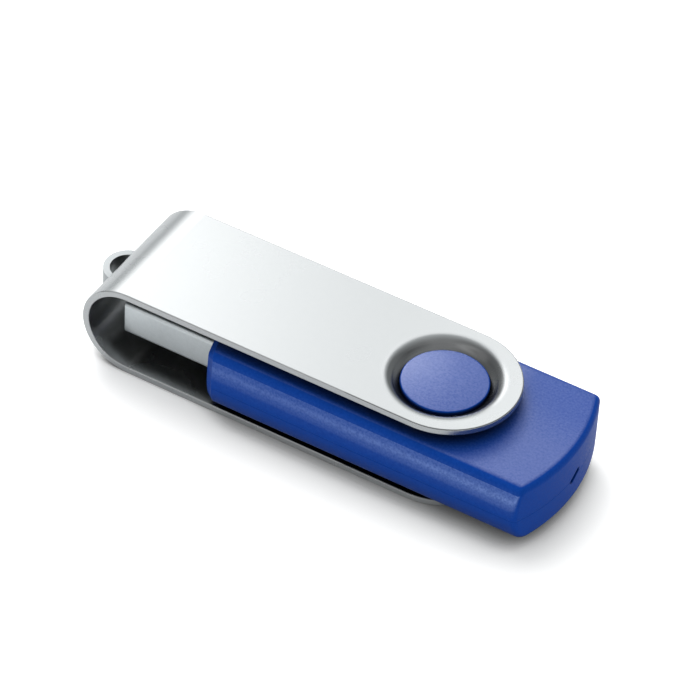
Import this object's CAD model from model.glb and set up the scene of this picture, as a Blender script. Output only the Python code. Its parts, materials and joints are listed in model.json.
"""A stick with a blue plastic shell and a steel plug, held in a folded metal clip.

Metres, +Z up. The stick's length runs along X. The clip's closed end is near
X = 0, with its key loop on the -X side, and the object lies on white paper.
The camera looks down on it from +X, -Y.
"""

import json
import math

import bmesh
import bpy
from mathutils import Matrix, Vector


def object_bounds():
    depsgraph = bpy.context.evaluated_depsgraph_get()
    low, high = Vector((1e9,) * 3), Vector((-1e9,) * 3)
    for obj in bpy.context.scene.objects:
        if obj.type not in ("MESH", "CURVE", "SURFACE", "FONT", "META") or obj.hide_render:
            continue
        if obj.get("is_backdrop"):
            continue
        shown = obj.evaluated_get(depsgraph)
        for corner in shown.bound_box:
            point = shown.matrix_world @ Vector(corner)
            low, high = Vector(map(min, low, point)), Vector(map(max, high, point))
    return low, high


MM = 0.001

# what the lamps point at
TARGET = Vector((0.025, 0.0, 0.0))
CLOSED_END = Vector((0.0, 0.0, 0.0065))
ROUND_END = Vector((0.049, 0.0, 0.0065))
BUTTON = Vector((0.0397, 0.0, 0.0058))

FLOOR_HALF_SIDE = 3.0

CAMERA_LENS = 202.99
CAMERA_SENSOR = 36.0
CAMERA_CLIP = (0.01, 20.0)
CAMERA_PLACE = Vector((185.476, -293.924, 315.733)) * MM
CAMERA_RIGHT = Vector((0.8594334, 0.5093713, 0.0437615))
CAMERA_UP = Vector((-0.3757371, 0.5712689, 0.7297078))
CAMERA_BACK = Vector((0.3466926, -0.6435781, 0.6823573))

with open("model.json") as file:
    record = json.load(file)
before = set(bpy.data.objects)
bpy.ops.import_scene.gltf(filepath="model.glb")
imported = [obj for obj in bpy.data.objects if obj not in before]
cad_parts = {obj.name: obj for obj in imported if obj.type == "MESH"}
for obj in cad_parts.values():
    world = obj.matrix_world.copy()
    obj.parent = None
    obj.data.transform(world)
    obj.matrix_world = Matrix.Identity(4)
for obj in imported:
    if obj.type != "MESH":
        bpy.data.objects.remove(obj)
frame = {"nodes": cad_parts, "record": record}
cad_low, cad_high = (corner.copy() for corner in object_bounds())

scene = bpy.context.scene
pieces = frame["nodes"]


# ---------------------------------------------------------------- node graphs

class Graph:
    """Short calls for building the node tree of a material or world.

    A value given to a node may be a constant or another node's output."""

    def __init__(self, owner, output):
        owner.use_nodes = True
        self.owner = owner
        self.tree = owner.node_tree
        self.tree.nodes.clear()
        self.out = self.add(output)

    def feed(self, socket, value):
        if isinstance(value, bpy.types.NodeSocket):
            self.tree.links.new(value, socket)
        elif socket.type == "RGBA":
            socket.default_value = (*value, 1.0)
        else:
            socket.default_value = value

    def add(self, kind, **values):
        """A node with its properties, or its inputs (with _ for a space), set."""
        node = self.tree.nodes.new("ShaderNode" + kind)
        for key, value in values.items():
            if hasattr(node, key):
                setattr(node, key, value)
            else:
                self.feed(node.inputs[key.replace("_", " ")], value)
        return node

    def surface(self, shader):
        self.feed(self.out.inputs["Surface"], shader.outputs[0])

    def principled(self, **values):
        self.surface(self.add("BsdfPrincipled", **values))

    # arithmetic

    def operate(self, kind, operation, first, second):
        node = self.add(kind, operation=operation)
        self.feed(node.inputs[0], first)
        self.feed(node.inputs[1], second)
        return node.outputs["Value"]

    def times(self, product, *factors):
        for factor in factors:
            product = self.operate("Math", "MULTIPLY", product, factor)
        return product

    def plus(self, first, second):
        return self.operate("Math", "ADD", first, second)

    def average(self, first, second):
        return self.times(self.plus(first, second), 0.5)

    def one_minus(self, value):
        return self.operate("Math", "SUBTRACT", 1.0, value)

    def size_of(self, value):
        return self.operate("Math", "ABSOLUTE", value, 0.0)

    def dot(self, vector, direction):
        return self.operate("VectorMath", "DOT_PRODUCT", vector, direction)

    def remap(self, value, to=(0.0, 1.0), over=(0.0, 1.0)):
        """Carries the range `over` to the range `to`, clamped."""
        node = self.add("MapRange", Value=value, From_Min=over[0], From_Max=over[1],
                        To_Min=to[0], To_Max=to[1])
        return node.outputs["Result"]

    def mix(self, amount, start, end):
        node = self.add("Mix", data_type="RGBA")
        for index, value in ((0, amount), (6, start), (7, end)):
            self.feed(node.inputs[index], value)
        return node.outputs[2]

    def ramp(self, factor, stops):
        """An eased ramp through (position, colour) stops."""
        node = self.add("ValToRGB", Fac=factor)
        node.color_ramp.interpolation = "EASE"
        elements = node.color_ramp.elements
        while len(elements) < len(stops):
            elements.new(0.5)
        for element, (position, colour) in zip(elements, stops):
            element.position = position
            element.color = (*colour, 1.0)
        return node.outputs["Color"]

    # places and directions

    def coords(self, stretch=(1, 1, 1)):
        mapping = self.add("Mapping", Scale=stretch,
                           Vector=self.add("TexCoord").outputs["Object"])
        return mapping.outputs["Vector"]

    def world_axis(self, axis, which="Normal"):
        """One component of the world normal or position."""
        vector = self.add("NewGeometry").outputs[which]
        return self.add("SeparateXYZ", Vector=vector).outputs[axis]

    def own_axis(self, axis, which="Object"):
        """One component of the place or normal in the piece's own frame, so
        that a marking stays on the piece when it turns."""
        vector = self.add("TexCoord").outputs[which]
        return self.add("SeparateXYZ", Vector=vector).outputs[axis]

    def facing(self, *stops):
        """A value read from (Z of the normal, value) stops."""
        return self.ramp(self.world_axis("Z"), [(z, (value,) * 3) for z, value in stops])

    def is_ray(self, kind):
        return self.add("LightPath").outputs[f"Is {kind} Ray"]

    # textures and surface relief

    def noise(self, scale, detail, rough, stretch=(1, 1, 1)):
        node = self.add("TexNoise", Scale=scale, Detail=detail, Roughness=rough,
                        Vector=self.coords(stretch))
        return node.outputs["Fac"]

    def bump(self, height, strength, distance, normal=None):
        node = self.add("Bump", Strength=strength, Distance=distance, Height=height)
        if normal is not None:
            self.feed(node.inputs["Normal"], normal)
        return node.outputs["Normal"]

    def bevel(self, radius):
        return self.add("Bevel", samples=8, Radius=radius).outputs["Normal"]

    def cavity(self, reach, dark, over, upward=None):
        """1 on open faces, falling to `dark` deep inside narrow gaps. `over` is
        the range of openness; `upward` is its upper limit on upturned faces."""
        openness = self.add("AmbientOcclusion", samples=16, Distance=reach).outputs["AO"]
        plain = self.remap(openness, to=(dark, 1.0), over=over)
        if upward is None:
            return plain
        lifted = self.remap(openness, to=(dark, 1.0), over=(over[0], upward))
        up = self.facing((0.0, 0.0), (0.35, 0.0), (0.60, 1.0))
        return self.plus(self.times(lifted, up), self.times(plain, self.one_minus(up)))


def material_graph(name):
    return Graph(bpy.data.materials.new(name), "OutputMaterial")


# ------------------------------------------------------------------ materials

def clip_metal(name):
    """Satin aluminium-toned sheet: a silky finish with faint cloudy
    variation, a fine mottle, and darker tone in narrow hollows."""
    g = material_graph(name)
    cloud = g.noise(scale=90.0, detail=3.0, rough=0.55)
    mottle = g.noise(scale=1100.0, detail=2.0, rough=0.55)
    streak = g.noise(scale=700.0, detail=1.0, rough=0.5, stretch=(1.0, 0.22, 1.0))
    colour = g.mix(g.average(cloud, mottle),
                   start=(0.458, 0.467, 0.469), end=(0.481, 0.490, 0.491))
    # the lanced key loop outside the closed end is duller than the strip
    loop = g.remap(g.own_axis("X"), to=(1.0, 0.0), over=(-0.00435, -0.00415))
    colour = g.mix(loop, start=colour, end=(0.380, 0.395, 0.400))
    hollow = g.cavity(reach=0.0060, dark=0.04, over=(0.12, 0.50), upward=0.86)

    # the cut edges of the lower arm catch the light thrown up by the paper
    edge_gain = 0.9
    low = g.remap(g.world_axis("Z", "Position"), to=(1.0, 0.0), over=(-0.0050, 0.0005))
    side = g.remap(g.size_of(g.own_axis("Y", "Normal")), over=(0.80, 0.98))
    hollow = g.times(hollow, g.plus(g.times(low, side, edge_gain), 1.0))

    # the wall of the pressed ring is burnished darker along the strip
    burnish_direction = (0.83, 0.56, 0.0)
    burnish_depth = 0.62
    along = g.dot(g.add("TexCoord").outputs["Normal"], burnish_direction)
    wall = g.times(
        g.remap(g.size_of(along), over=(0.10, 0.46)),
        g.facing((0.0, 0.0), (0.45, 0.0), (0.60, 1.0), (0.88, 1.0), (0.985, 0.0)),
        g.remap(g.own_axis("X"), over=(0.0310, 0.0318)))
    hollow = g.times(hollow, g.one_minus(g.times(wall, burnish_depth)))
    colour = g.mix(hollow, start=(0.0, 0.0, 0.0), end=colour)

    loop_roughness = 0.08  # added on the key loop
    rough = g.plus(g.remap(cloud, to=(0.26, 0.29)), g.times(loop, loop_roughness))
    g.principled(Base_Color=colour, Metallic=1.0, Roughness=rough,
                 Normal=g.bump(streak, strength=0.012, distance=0.00002))
    return g.owner


def blue_plastic(name):
    """Deep blue moulded plastic with a spark-eroded grain."""
    g = material_graph(name)
    grain = g.noise(scale=3600.0, detail=2.5, rough=0.6)
    coarse = g.noise(scale=1500.0, detail=2.0, rough=0.5)
    cloud = g.noise(scale=120.0, detail=2.0, rough=0.5)
    cloud_share = 0.25
    colour = g.mix(g.remap(grain, over=(0.3, 0.7)),
                   start=(0.003, 0.044, 0.285), end=(0.006, 0.057, 0.340))
    colour = g.mix(g.times(cloud, cloud_share), start=colour, end=(0.004, 0.050, 0.305))
    hollow = g.cavity(reach=0.0040, dark=0.06, over=(0.12, 0.66))
    colour = g.mix(hollow, start=(0.0, 0.001, 0.006), end=colour)
    # surfaces that turn down towards the paper go deep
    down = g.remap(g.world_axis("Z"), to=(0.30, 1.0), over=(-0.60, -0.06))
    colour = g.mix(down, start=(0.0005, 0.005, 0.040), end=colour)
    # light that the object throws on the paper is left nearly uncoloured
    colour = g.mix(g.is_ray("Diffuse"), start=colour, end=(0.05, 0.055, 0.06))

    normal = g.bump(coarse, strength=0.14, distance=0.00004, normal=g.bevel(0.00015))
    normal = g.bump(grain, strength=0.40, distance=0.00003, normal=normal)

    # the long sides shine where they lean a little upwards, more so towards +X
    side = g.times(
        g.facing((0.0, 0.0), (0.06, 0.04), (0.12, 0.42), (0.19, 1.0),
                 (0.245, 0.56), (0.30, 0.06), (0.90, 0.05), (1.0, 0.0)),
        g.remap(g.size_of(g.world_axis("Y")), over=(0.75, 0.93)),
        g.remap(g.world_axis("X", "Position"), to=(0.95, 1.75), over=(0.024, 0.056)))
    # the flats shine all over, a shade less in the corner at +X, +Y
    dull = g.times(
        g.remap(g.world_axis("Y", "Position"), to=(0.0, 0.30), over=(-0.0015, 0.0045)),
        g.remap(g.world_axis("X", "Position"), over=(0.0455, 0.0475)))
    flat = g.times(g.facing((0.0, 0.0), (0.90, 0.0), (0.985, 1.0)), g.one_minus(dull))

    flat_level = 0.28
    base_level = 0.035  # specular level everywhere
    sparkle = g.remap(grain, to=(0.80, 1.60), over=(0.36, 0.62))
    level = g.plus(g.times(side, sparkle), g.times(flat, flat_level))
    coat = g.times(flat, g.remap(grain, to=(0.05, 0.65), over=(0.34, 0.66)))
    g.principled(Base_Color=colour, Normal=normal, IOR=1.7,
                 Roughness=g.remap(grain, to=(0.34, 0.50), over=(0.3, 0.7)),
                 Specular_IOR_Level=g.plus(level, base_level),
                 Specular_Tint=g.mix(flat, start=(0.41, 0.57, 1.0), end=(0.92, 0.96, 1.0)),
                 Coat_Weight=coat, Coat_Roughness=0.34, Coat_Normal=normal)
    return g.owner


def plug_steel(name):
    """Nickel-plated steel: satin, with drawing lines along the plug."""
    g = material_graph(name)
    streak = g.noise(scale=1600.0, detail=2.0, rough=0.6, stretch=(0.10, 1.0, 1.0))
    speck = g.noise(scale=2600.0, detail=3.0, rough=0.65)
    cloud = g.noise(scale=160.0, detail=3.0, rough=0.5)
    colour = g.mix(g.average(cloud, speck), start=(0.50, 0.53, 0.54), end=(0.72, 0.755, 0.765))
    hollow = g.cavity(reach=0.0035, dark=0.08, over=(0.10, 0.62), upward=0.30)
    colour = g.mix(hollow, start=(0.0, 0.0, 0.0), end=colour)
    normal = g.bump(streak, strength=0.08, distance=0.00002, normal=g.bevel(0.00010))
    normal = g.bump(speck, strength=0.15, distance=0.00002, normal=normal)
    g.principled(Base_Color=colour, Metallic=1.0, Normal=normal,
                 Roughness=g.remap(speck, to=(0.26, 0.40)))
    return g.owner


def moulded(name, start, end, roughness):
    """Plain moulded material with a fine grain."""
    g = material_graph(name)
    grain = g.noise(scale=2500.0, detail=2.5, rough=0.55)
    cloud = g.noise(scale=200.0, detail=2.0, rough=0.5)
    normal = g.bump(grain, strength=0.2, distance=0.00002, normal=g.bevel(0.00006))
    g.principled(Base_Color=g.mix(g.average(grain, cloud), start, end), Normal=normal,
                 Roughness=g.remap(grain, to=roughness), Specular_IOR_Level=0.5)
    return g.owner


def plated(name, start, end, roughness):
    """Plated metal with fine lines along X."""
    g = material_graph(name)
    streak = g.noise(scale=2200.0, detail=2.5, rough=0.55, stretch=(0.08, 1.0, 1.0))
    cloud = g.noise(scale=400.0, detail=2.0, rough=0.5)
    normal = g.bump(streak, strength=0.1, distance=0.00001, normal=g.bevel(0.00004))
    g.principled(Base_Color=g.mix(cloud, start, end), Metallic=1.0, Normal=normal,
                 Roughness=g.remap(streak, to=roughness))
    return g.owner


def solder_resist(name):
    """Green resist with the faint relief of the tracks under it."""
    g = material_graph(name)
    brick = g.add("TexBrick", Scale=900.0, Mortar_Size=0.08, Color1=(0.018, 0.16, 0.06),
                  Color2=(0.022, 0.19, 0.075), Mortar=(0.010, 0.10, 0.04), Vector=g.coords())
    cloud = g.noise(scale=300.0, detail=2.0, rough=0.5)
    cloud_share = 0.3
    colour = g.mix(g.times(cloud, cloud_share),
                   start=brick.outputs["Color"], end=(0.03, 0.24, 0.10))
    g.principled(Base_Color=colour, Roughness=g.remap(cloud, to=(0.25, 0.4)),
                 Normal=g.bump(brick.outputs["Fac"], strength=0.2, distance=0.00003))
    return g.owner


# name, builder, then for the plain ones: first colour, second colour, roughness range
MATERIAL_TABLE = (
    ("clip_metal", clip_metal),
    ("blue_plastic", blue_plastic),
    ("plug_steel", plug_steel),
    ("white_plastic", moulded, (0.72, 0.72, 0.69), (0.82, 0.82, 0.79), (0.35, 0.5)),
    ("gold", plated, (0.88, 0.62, 0.24), (0.95, 0.72, 0.34), (0.14, 0.28)),
    ("board_green", solder_resist),
    ("chip_black", moulded, (0.012, 0.012, 0.014), (0.03, 0.03, 0.032), (0.45, 0.65)),
    ("tin", plated, (0.62, 0.62, 0.64), (0.74, 0.74, 0.76), (0.2, 0.38)),
    ("lamp_white", moulded, (0.75, 0.75, 0.68), (0.85, 0.85, 0.78), (0.12, 0.25)),
    ("ceramic_tan", moulded, (0.36, 0.24, 0.13), (0.46, 0.32, 0.19), (0.4, 0.6)),
)


def dress_pieces():
    materials = {name: build(name, *looks) for name, build, *looks in MATERIAL_TABLE}
    for part in frame["record"]["subparts"]:
        piece = pieces[part["node"]]
        material = materials[part["material_slot"]]
        if not piece.material_slots:
            piece.data.materials.append(material)
        for slot in piece.material_slots:
            slot.material = material


# ---------------------------------------------------------------------- floor

def floor_paper():
    """Paper exposed well past white to the camera, without over-lighting the
    object, and deeper in tone where the object touches it."""
    g = material_graph("floor_paper")
    colour = g.mix(g.noise(scale=6.0, detail=2.0, rough=0.5),
                   start=(0.915, 0.935, 0.950), end=(0.935, 0.955, 0.970))
    seen = g.mix(g.cavity(reach=0.0040, dark=0.25, over=(0.25, 0.72)),
                 start=(0.0, 0.0, 0.002), end=(1.42, 1.42, 1.42))
    colour = g.mix(g.is_ray("Camera"), start=colour, end=seen)
    g.surface(g.add("BsdfDiffuse", Color=colour))
    return g.owner


def make_floor():
    mesh = bpy.data.meshes.new("floor")
    bm = bmesh.new()
    corners = ((-1, -1), (1, -1), (1, 1), (-1, 1))
    bm.faces.new([bm.verts.new((x * FLOOR_HALF_SIDE, y * FLOOR_HALF_SIDE, cad_low.z))
                  for x, y in corners])
    bm.to_mesh(mesh)
    bm.free()
    floor = bpy.data.objects.new("floor", mesh)
    scene.collection.objects.link(floor)
    mesh.materials.append(floor_paper())
    floor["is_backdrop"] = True


# --------------------------------------------------------------------- lights

def around(azimuth, elevation, distance, centre=TARGET):
    """A place seen from `centre`; azimuth in degrees from -Y towards +X."""
    a, e = math.radians(azimuth), math.radians(elevation)
    direction = Vector((math.sin(a) * math.cos(e), -math.cos(a) * math.cos(e), math.sin(e)))
    return centre + direction * distance


def area_light(name, where, size, radiance, towards=TARGET, size_y=None,
               glossy=True, diffuse=True):
    """A rectangular lamp given by its brightness rather than its power."""
    lamp = bpy.data.lights.new(name, "AREA")
    lamp.shape = "RECTANGLE"
    lamp.size = size
    lamp.size_y = size_y or size
    lamp.energy = radiance * math.pi * lamp.size * lamp.size_y
    light = bpy.data.objects.new(name, lamp)
    scene.collection.objects.link(light)
    light.location = where
    light.rotation_mode = "QUATERNION"
    light.rotation_quaternion = (towards - where).to_track_quat("-Z", "Y")
    light.visible_glossy = glossy
    light.visible_diffuse = diffuse
    return light


def make_lights():
    # main softbox, beyond and above, mirrored by the flat faces
    area_light("softbox", around(azimuth=208.0, elevation=47.0, distance=0.62),
               size=0.50, size_y=0.42, radiance=0.86)
    # two nested lamps off to the left, fading outwards, mirrored by the closed end
    for size, radiance in ((0.17, 1.45), (0.21, 0.60)):
        area_light(f"softbox_left_{round(size * 100)}", Vector((-0.215, 0.185, 0.195)),
                   towards=CLOSED_END, size=size, radiance=radiance)
    # a small card mirrored by the round end of the clip
    area_light("card_right", Vector((0.016, 0.079, 0.090)), towards=ROUND_END,
               size=0.028, radiance=0.50, diffuse=False)
    # leaves no mirror image, so it only brightens matt surfaces
    area_light("overhead", around(azimuth=238.0, elevation=62.0, distance=0.70),
               size=0.55, radiance=2.0, glossy=False)
    # weak fill from the viewer's side, for the near faces
    area_light("fill", around(azimuth=15.0, elevation=28.0, distance=0.60),
               size=0.40, radiance=0.65, glossy=False)
    # small card that only the upper shell mirrors, near its button
    card = area_light("card_button",
                      around(azimuth=218.0, elevation=35.0, distance=0.30, centre=BUTTON),
                      towards=BUTTON, size=0.070, radiance=12.0, diffuse=False)
    receivers = bpy.data.collections.new("card_button_receivers")
    receivers.objects.link(pieces["upper_shell"])
    card.light_linking.receiver_collection = receivers
    # mirrored by rounded near edges and by the far wall of the pressed ring
    area_light("card_front", around(azimuth=-30.0, elevation=34.0, distance=0.50),
               size=0.50, size_y=0.40, radiance=0.50, diffuse=False)


def make_world():
    """Mirror surroundings, dim on the camera's side and brighter beyond, with
    an even grey for diffuse light."""
    world = bpy.data.worlds.new("studio")
    scene.world = world
    g = Graph(world, "OutputWorld")
    bright_direction = (-0.28, 0.85, 0.30)
    towards = g.dot(g.add("TexCoord").outputs["Generated"], bright_direction)
    tone = g.ramp(g.remap(towards, over=(-1.0, 1.0)),
                  ((0.45, (0.32, 0.325, 0.33)), (0.90, (0.66, 0.692, 0.705))))
    mirror = g.add("Background", Color=tone, Strength=1.0)
    soft = g.add("Background", Color=(0.60, 0.605, 0.61), Strength=1.0)
    mix = g.add("MixShader", Fac=g.is_ray("Diffuse"))
    g.feed(mix.inputs[1], mirror.outputs[0])
    g.feed(mix.inputs[2], soft.outputs[0])
    g.surface(mix)


# --------------------------------------------------------------------- camera

def make_camera():
    lens = bpy.data.cameras.new("camera")
    camera = bpy.data.objects.new("camera", lens)
    scene.collection.objects.link(camera)
    lens.sensor_width = CAMERA_SENSOR
    lens.lens = CAMERA_LENS
    lens.clip_start, lens.clip_end = CAMERA_CLIP
    pose = Matrix((CAMERA_RIGHT, CAMERA_UP, CAMERA_BACK)).transposed().to_4x4()
    pose.translation = CAMERA_PLACE
    camera.matrix_world = pose
    scene.camera = camera

    scene.view_settings.view_transform = "Standard"
    scene.view_settings.look = "None"
    scene.view_settings.exposure = 0.0


dress_pieces()
make_floor()
make_lights()
make_world()
make_camera()
